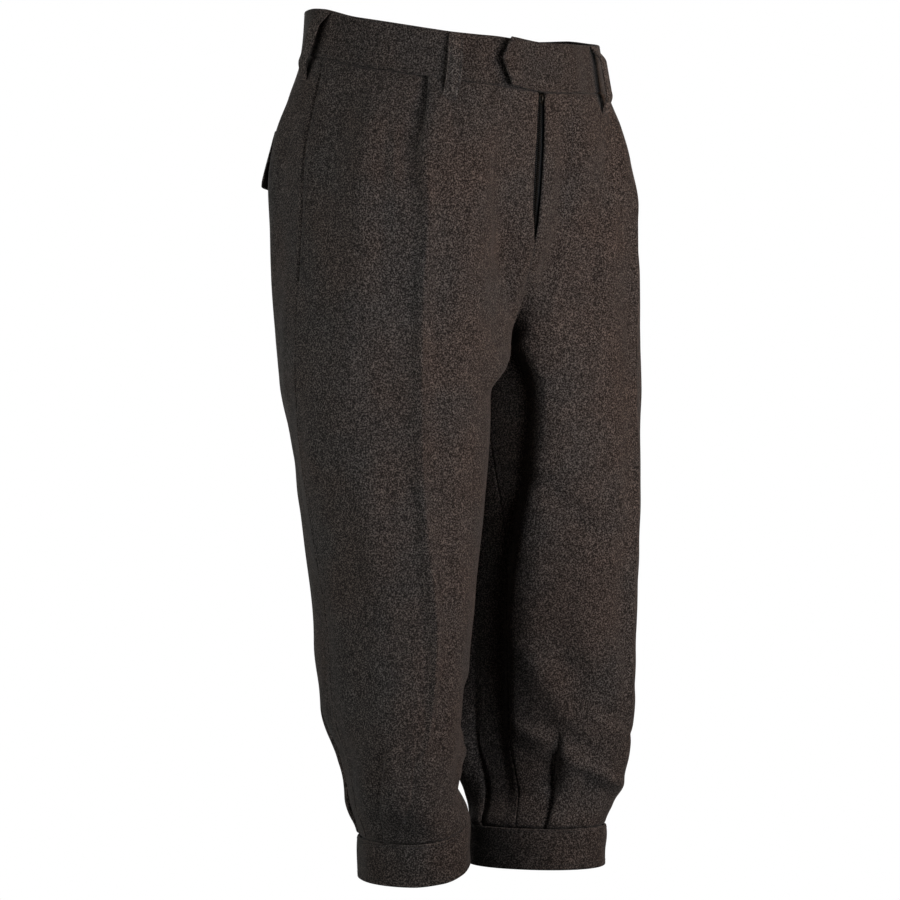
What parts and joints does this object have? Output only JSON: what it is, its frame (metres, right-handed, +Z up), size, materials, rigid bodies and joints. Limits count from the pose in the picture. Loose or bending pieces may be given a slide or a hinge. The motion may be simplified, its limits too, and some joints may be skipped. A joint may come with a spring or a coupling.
{
  "type": "knee breeches",
  "caption": "Wool knee breeches with a pointed waistband tab, belt loops, front pleats, side pockets and banded legs that end below the knee.",
  "frame": {"origin": "centre of the waist, at half the height of the waistband at the back", "axes": "+Z up to the waist, -Y to the front, +X to the wearer's left"},
  "size_m": [0.3815, 0.273, 0.794],
  "materials": {
    "wool": "matte",
    "zip_tape": "matte",
    "zip_metal": "satin"
  },
  "bodies": {
    "root": {"front_right": "wool", "front_left": "wool", "back_right": "wool", "back_left": "wool", "waistband_right": "wool", "waistband_left": "wool", "knee_band_right": "wool", "knee_band_left": "wool", "belt_loop_front_right": "wool", "belt_loop_front_left": "wool", "belt_loop_side_right": "wool", "belt_loop_side_left": "wool", "belt_loop_back": "wool", "back_pocket_flap": "wool", "zip_tape": "zip_tape", "zip_slider": "zip_metal"}
  },
  "joints": []
}
